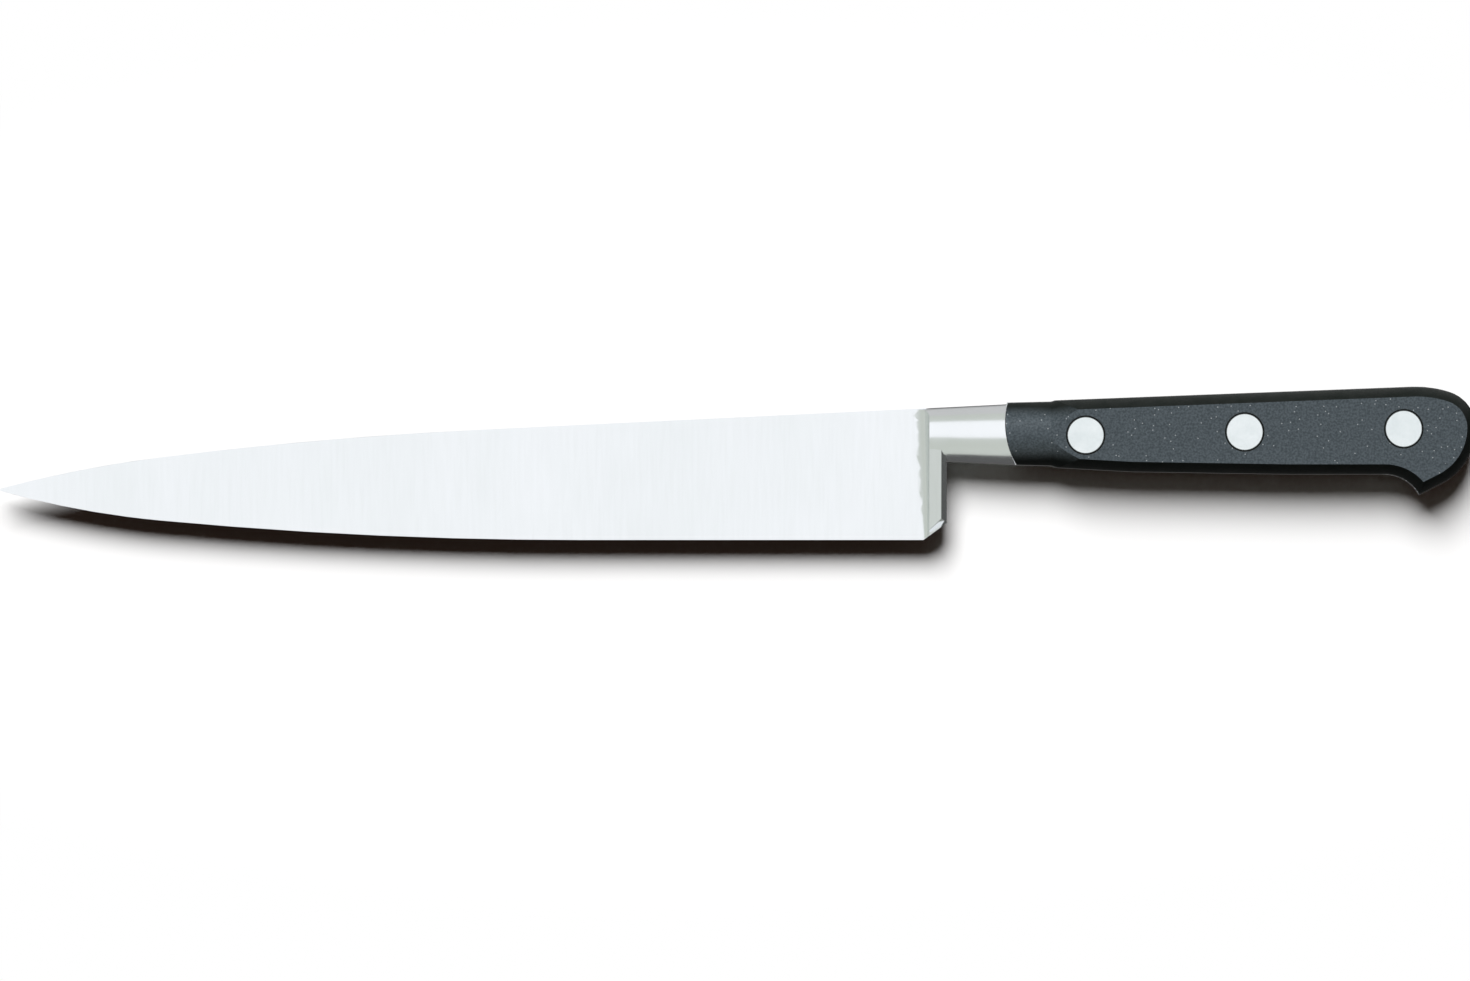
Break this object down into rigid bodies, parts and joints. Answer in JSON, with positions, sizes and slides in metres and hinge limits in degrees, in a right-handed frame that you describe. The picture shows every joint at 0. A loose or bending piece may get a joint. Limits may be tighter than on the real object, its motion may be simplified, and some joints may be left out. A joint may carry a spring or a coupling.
{
  "type": "carving knife",
  "caption": "Carving knife with a slim forged blade, heel bolster, round collar, full tang and black riveted scales.",
  "frame": {"origin": "middle of the overall box in X and Y, on the flat of the right scale that the knife rests on", "axes": "+X from the tip to the butt, +Y towards the spine, +Z away from the surface that the knife lies on"},
  "size_m": [0.3194, 0.0332, 0.014],
  "materials": {
    "blade_steel": "satin ground stainless steel, polished on the collar",
    "scale_plastic": "fine satin black moulded plastic",
    "rivet_steel": "flush ground stainless steel"
  },
  "bodies": {
    "root": {"forged_blade": "blade_steel", "left_scale": "scale_plastic", "right_scale": "scale_plastic", "rivet_pin_front": "rivet_steel", "rivet_pin_middle": "rivet_steel", "rivet_pin_rear": "rivet_steel", "rivet_sleeve_front": "rivet_steel", "rivet_sleeve_middle": "rivet_steel", "rivet_sleeve_rear": "rivet_steel"}
  },
  "joints": []
}
